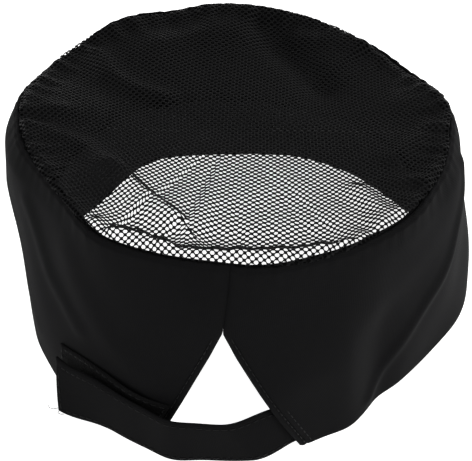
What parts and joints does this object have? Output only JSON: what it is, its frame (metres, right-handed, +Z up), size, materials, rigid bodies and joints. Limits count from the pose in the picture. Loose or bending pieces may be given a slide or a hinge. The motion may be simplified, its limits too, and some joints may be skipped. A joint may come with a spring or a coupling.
{
  "type": "mesh-top kitchen skull cap",
  "caption": "Round kitchen skull cap with a tall twill band, an open net crown and a hook-and-loop strap across a V-shaped vent at the back.",
  "frame": {"origin": "centre of the whole cap's box, on the surface that it stands on", "axes": "+Z up through the crown, +Y towards the forehead, -Y through the vent at the back, +X towards the sewn end of the strap"},
  "size_m": [0.1866, 0.1978, 0.1059],
  "materials": {
    "twill": "matt black polyester and cotton twill",
    "net": "open black knitted net with a faint sheen",
    "cotton": "matt black brushed cotton",
    "loop_pile": "black looped nylon pile",
    "hook_pile": "black moulded nylon hooks on a woven tape",
    "label": "white satin ribbon, blank"
  },
  "bodies": {
    "cap": {"band_outer": "twill", "band_lining": "twill", "sweatband": "cotton", "crown_net": "net", "crown_seam_tape": "twill", "strap_root": "twill", "loop_tape": "loop_pile", "care_label": "label"},
    "strap": {"strap": "twill", "hook_tape": "hook_pile"}
  },
  "joints": [
    {"name": "strap_swing", "type": "hinge", "parent": "cap", "child": "strap", "pos_m": [0.0121, -0.0898, 0.0128], "axis": [0, 0, 1], "range_deg": [0, 110]}
  ]
}
